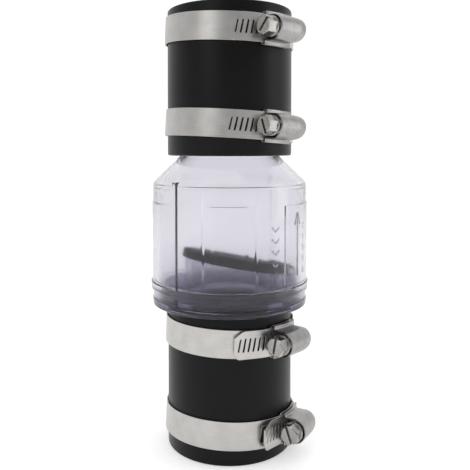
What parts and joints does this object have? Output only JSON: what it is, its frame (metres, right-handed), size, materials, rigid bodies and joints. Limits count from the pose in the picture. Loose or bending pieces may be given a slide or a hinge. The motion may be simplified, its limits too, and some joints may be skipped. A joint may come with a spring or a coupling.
{
  "type": "swing check valve",
  "caption": "In-line swing check valve: clear body with a hinged flapper between two rubber sleeves, each held by worm-drive band clamps.",
  "frame": {"origin": "centre of the inlet sleeve's lower end, where the pipe's axis enters", "axes": "+Z along the pipe axis in the flow direction, towards the outlet; -Y is the front; +X to the front's right"},
  "size_m": [0.0806, 0.0779, 0.2093],
  "materials": {
    "sleeve_rubber": "satin",
    "clear_pvc": "gloss",
    "flapper_rubber": "matte",
    "band_steel": "satin",
    "housing_steel": "satin",
    "screw_steel": "satin",
    "pin_steel": "satin"
  },
  "bodies": {
    "casing": {"inlet_sleeve": "sleeve_rubber", "outlet_sleeve": "sleeve_rubber", "lower_body": "clear_pvc", "upper_body": "clear_pvc", "hinge_pin": "pin_steel", "inlet_pipe_band": "band_steel", "inlet_pipe_housing": "housing_steel", "inlet_pipe_saddle": "housing_steel", "inlet_body_band": "band_steel", "inlet_body_housing": "housing_steel", "inlet_body_saddle": "housing_steel", "outlet_body_band": "band_steel", "outlet_body_housing": "housing_steel", "outlet_body_saddle": "housing_steel", "outlet_pipe_band": "band_steel", "outlet_pipe_housing": "housing_steel", "outlet_pipe_saddle": "housing_steel"},
    "flap": {"flapper": "flapper_rubber", "flapper_stiffener": "pin_steel"},
    "inlet_pipe_drive": {"inlet_pipe_screw": "screw_steel"},
    "inlet_body_drive": {"inlet_body_screw": "screw_steel"},
    "outlet_body_drive": {"outlet_body_screw": "screw_steel"},
    "outlet_pipe_drive": {"outlet_pipe_screw": "screw_steel"}
  },
  "joints": [
    {"name": "flapper_swing", "type": "hinge", "parent": "casing", "child": "flap", "pos_m": [0.02618, 0.01166, 0.08331], "axis": [-0.4067, 0.9135, 0], "range_deg": [0, 60]},
    {"name": "inlet_pipe_screw_spin", "type": "hinge", "parent": "casing", "child": "inlet_pipe_drive", "pos_m": [0.03273, -0.01672, 0.01244], "axis": [-0.4537, -0.8892, 0.0589], "continuous": true},
    {"name": "inlet_body_screw_spin", "type": "hinge", "parent": "casing", "child": "inlet_body_drive", "pos_m": [0.02814, -0.02363, 0.0549], "axis": [-0.6425, -0.7659, 0.0261], "continuous": true},
    {"name": "outlet_body_screw_spin", "type": "hinge", "parent": "casing", "child": "outlet_body_drive", "pos_m": [0.02431, -0.02754, 0.15287], "axis": [-0.7477, -0.662, 0.0517], "continuous": true},
    {"name": "outlet_pipe_screw_spin", "type": "hinge", "parent": "casing", "child": "outlet_pipe_drive", "pos_m": [0.02409, -0.02767, 0.19642], "axis": [-0.7541, -0.6567, 0.0035], "continuous": true}
  ]
}
